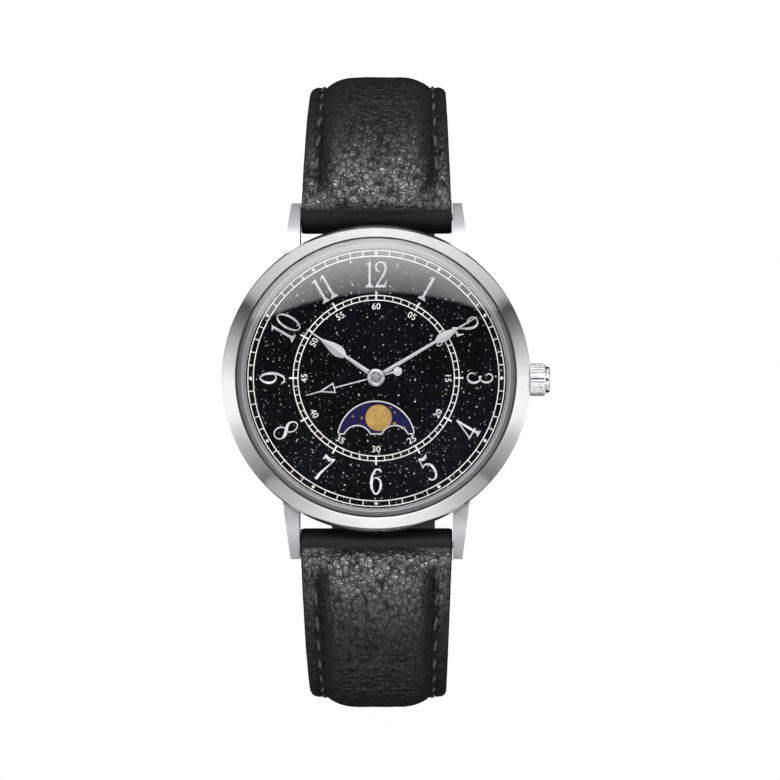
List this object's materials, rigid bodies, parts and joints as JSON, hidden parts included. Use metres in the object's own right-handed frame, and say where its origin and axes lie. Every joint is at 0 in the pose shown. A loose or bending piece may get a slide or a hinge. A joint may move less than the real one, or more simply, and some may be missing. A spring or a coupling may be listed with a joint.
{
  "type": "moon phase wristwatch",
  "caption": "Round quartz wristwatch with moon phase window, serif numerals, leaf hands, domed crystal, fluted crown and padded leather strap with pin buckle.",
  "frame": {"origin": "middle of the case back's outer face, where the watch rests on the wrist", "axes": "+X to the crown at three o'clock, +Y to twelve o'clock, +Z out through the dial"},
  "size_m": [0.0389, 0.0804, 0.0656],
  "materials": {
    "satin_steel": "satin stainless steel",
    "polished_steel": "polished stainless steel",
    "crystal": "clear domed mineral glass",
    "gasket": "matt black rubber",
    "train_brass": "fine turned brass",
    "plate_metal": "nickel plated brass",
    "white_plastic": "moulded white plastic",
    "cell_steel": "plated can",
    "copper_wire": "enamelled copper wire",
    "board": "green circuit board",
    "moon_print": "navy print with gold moons",
    "dial_lacquer": "glossy black lacquer with pale specks",
    "silver_trim": "polished rhodium plate",
    "black_leather": "pebbled black leather",
    "lining_leather": "smooth dark lining leather",
    "pad_felt": "felt padding"
  },
  "bodies": {
    "case": {"case_body": "satin_steel", "bezel": "polished_steel", "crystal": "crystal", "crystal_gasket": "gasket", "rehaut_ring": "satin_steel", "case_back": "satin_steel", "case_back_gasket": "gasket", "crown_tube": "satin_steel", "main_plate": "plate_metal", "dial_side_plate": "white_plastic", "train_bridge": "plate_metal", "movement_holder": "white_plastic", "movement_screws": "polished_steel", "battery": "cell_steel", "battery_clamp": "satin_steel", "coil": "copper_wire", "coil_core": "satin_steel", "stator": "satin_steel", "circuit_board": "board", "quartz_can": "cell_steel", "moon_jumper": "train_brass", "dial": "dial_lacquer", "moon_window_rim": "silver_trim", "hour_numerals": "silver_trim", "upper_spring_bar": "satin_steel", "lower_spring_bar": "satin_steel"},
    "seconds_arbor": {"seconds_wheel": "train_brass", "seconds_hand": "silver_trim"},
    "third": {"third_wheel": "train_brass"},
    "centre": {"centre_wheel": "train_brass"},
    "intermediate": {"intermediate_wheel": "train_brass"},
    "motor_rotor": {"rotor": "white_plastic"},
    "minutes": {"cannon_pinion": "train_brass", "minute_hand": "silver_trim"},
    "minute_work": {"minute_wheel": "train_brass"},
    "hours": {"hour_wheel": "train_brass", "hour_hand": "silver_trim"},
    "moon_drive": {"moon_drive_wheel": "train_brass"},
    "setting_gear": {"setting_wheel": "train_brass"},
    "moon": {"moon_disc": "moon_print"},
    "clutch": {"clutch_wheel": "polished_steel"},
    "crown_and_stem": {"crown": "satin_steel", "crown_gasket": "gasket", "stem": "satin_steel"},
    "lever": {"setting_lever": "polished_steel"},
    "upper_strap": {"upper_strap_top": "black_leather", "upper_strap_padding": "pad_felt", "upper_strap_lining": "lining_leather", "fixed_keeper": "black_leather", "buckle_spring_bar": "satin_steel"},
    "lower_strap": {"lower_strap_top": "black_leather", "lower_strap_padding": "pad_felt", "lower_strap_lining": "lining_leather"},
    "buckle": {"buckle_frame": "polished_steel"},
    "tongue": {"buckle_tongue": "polished_steel"},
    "keeper": {"floating_keeper": "black_leather"}
  },
  "joints": [
    {"name": "seconds_spin", "type": "hinge", "parent": "case", "child": "seconds_arbor", "pos_m": [0, 0, 0.00435], "axis": [0, 0, 1], "continuous": true},
    {"name": "third_spin", "type": "hinge", "parent": "case", "child": "third", "pos_m": [-0.00251, -0.00176, 0.00435], "axis": [0, 0, 1], "continuous": true},
    {"name": "centre_spin", "type": "hinge", "parent": "case", "child": "centre", "pos_m": [0, 0, 0.00435], "axis": [0, 0, 1], "continuous": true},
    {"name": "intermediate_spin", "type": "hinge", "parent": "case", "child": "intermediate", "pos_m": [-0.0005, 0.00284, 0.00435], "axis": [0, 0, 1], "continuous": true},
    {"name": "rotor_spin", "type": "hinge", "parent": "case", "child": "motor_rotor", "pos_m": [-0.0005, 0.00508, 0.00435], "axis": [0, 0, 1], "continuous": true},
    {"name": "minute_spin", "type": "hinge", "parent": "case", "child": "minutes", "pos_m": [0, 0, 0.00435], "axis": [0, 0, 1], "continuous": true},
    {"name": "minute_wheel_spin", "type": "hinge", "parent": "case", "child": "minute_work", "pos_m": [0.00197, -0.00138, 0.00435], "axis": [0, 0, 1], "continuous": true},
    {"name": "hour_spin", "type": "hinge", "parent": "case", "child": "hours", "pos_m": [0, 0, 0.00435], "axis": [0, 0, 1], "continuous": true},
    {"name": "moon_drive_spin", "type": "hinge", "parent": "case", "child": "moon_drive", "pos_m": [-0.00249, -0.00144, 0.00435], "axis": [0, 0, 1], "continuous": true},
    {"name": "setting_wheel_spin", "type": "hinge", "parent": "case", "child": "setting_gear", "pos_m": [0.00477, -0.00138, 0.00435], "axis": [0, 0, 1], "continuous": true},
    {"name": "moon_disc_turn", "type": "hinge", "parent": "case", "child": "moon", "pos_m": [0, -0.00726, 0.00435], "axis": [0, 0, 1], "continuous": true},
    {"name": "crown_turn", "type": "hinge", "parent": "case", "child": "clutch", "pos_m": [0.0062, 0, 0.0032], "axis": [1, 0, 0], "continuous": true},
    {"name": "crown_pull", "type": "slide", "parent": "clutch", "child": "crown_and_stem", "axis": [1, 0, 0], "range_m": [0, 0.001]},
    {"name": "setting_lever_swing", "type": "hinge", "parent": "case", "child": "lever", "pos_m": [0.01, 0.00263, 0.0025], "axis": [0, 0, 1], "range_deg": [0, 26.3]},
    {"name": "upper_strap_hinge", "type": "hinge", "parent": "case", "child": "upper_strap", "pos_m": [0, 0.0196, 0.0023], "axis": [1, 0, 0], "range_deg": [0, 40]},
    {"name": "lower_strap_hinge", "type": "hinge", "parent": "case", "child": "lower_strap", "pos_m": [0, -0.0196, 0.0023], "axis": [-1, 0, 0], "range_deg": [0, 40]},
    {"name": "buckle_hinge", "type": "hinge", "parent": "upper_strap", "child": "buckle", "pos_m": [0, 0.0218, -0.0554], "axis": [1, 0, 0], "range_deg": [-60, 60]},
    {"name": "tongue_hinge", "type": "hinge", "parent": "buckle", "child": "tongue", "pos_m": [0, 0.0218, -0.0554], "axis": [1, 0, 0], "range_deg": [0, 70]},
    {"name": "keeper_slide", "type": "slide", "parent": "upper_strap", "child": "keeper", "axis": [0, 0, 1], "range_m": [0, 0.008]}
  ],
  "couplings": [
    {"joint": "third_spin", "follows": "seconds_spin", "ratio": -0.13333},
    {"joint": "centre_spin", "follows": "seconds_spin", "ratio": 0.016667},
    {"joint": "intermediate_spin", "follows": "seconds_spin", "ratio": -5},
    {"joint": "rotor_spin", "follows": "seconds_spin", "ratio": 30},
    {"joint": "minute_wheel_spin", "follows": "minute_spin", "ratio": -0.33333},
    {"joint": "hour_spin", "follows": "minute_spin", "ratio": 0.083333},
    {"joint": "moon_drive_spin", "follows": "minute_spin", "ratio": -0.041667},
    {"joint": "setting_wheel_spin", "follows": "minute_spin", "ratio": 0.6},
    {"joint": "setting_lever_swing", "follows": "crown_pull", "rad_per_m": 458.55}
  ]
}
